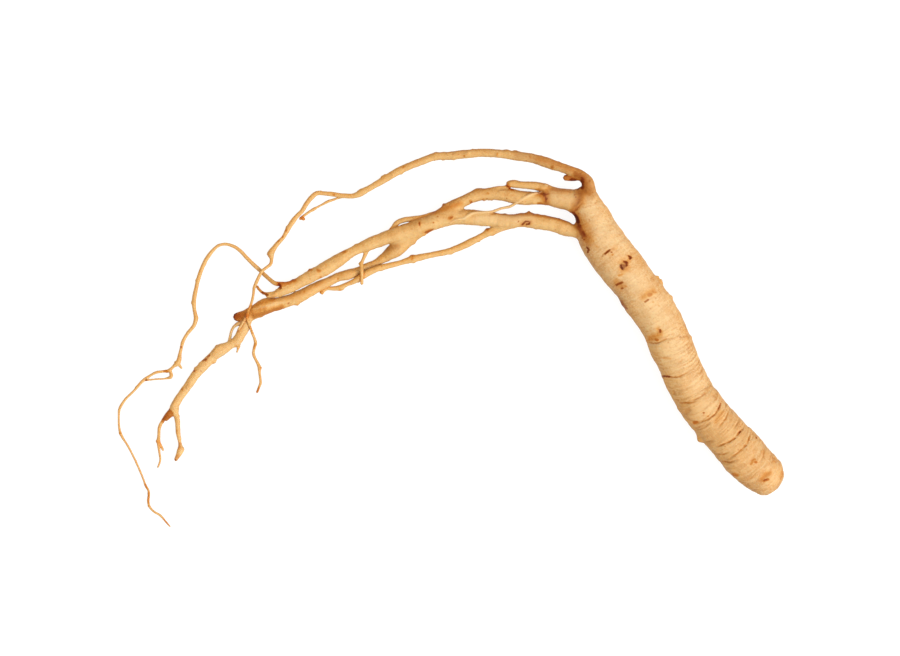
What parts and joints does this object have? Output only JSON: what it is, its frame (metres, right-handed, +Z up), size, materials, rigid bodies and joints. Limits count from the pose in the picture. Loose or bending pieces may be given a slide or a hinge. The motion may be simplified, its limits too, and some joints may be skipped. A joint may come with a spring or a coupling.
{
  "type": "ginseng root",
  "caption": "Whole fresh ginseng root lying flat: a thick tapering main body with finger-like side roots and long thread-like rootlets.",
  "frame": {"origin": "on the surface the root lies on, below the centre of its bounding box", "axes": "+X from the thread-like root tips towards the blunt end of the main body, +Y towards the long upper branch, +Z up from the surface"},
  "size_m": [0.1997, 0.1135, 0.0134],
  "materials": {
    "root_skin": "satin, moist cream-tan skin with orange-brown flecks"
  },
  "bodies": {
    "root": {"ginseng_root": "root_skin"}
  },
  "joints": []
}
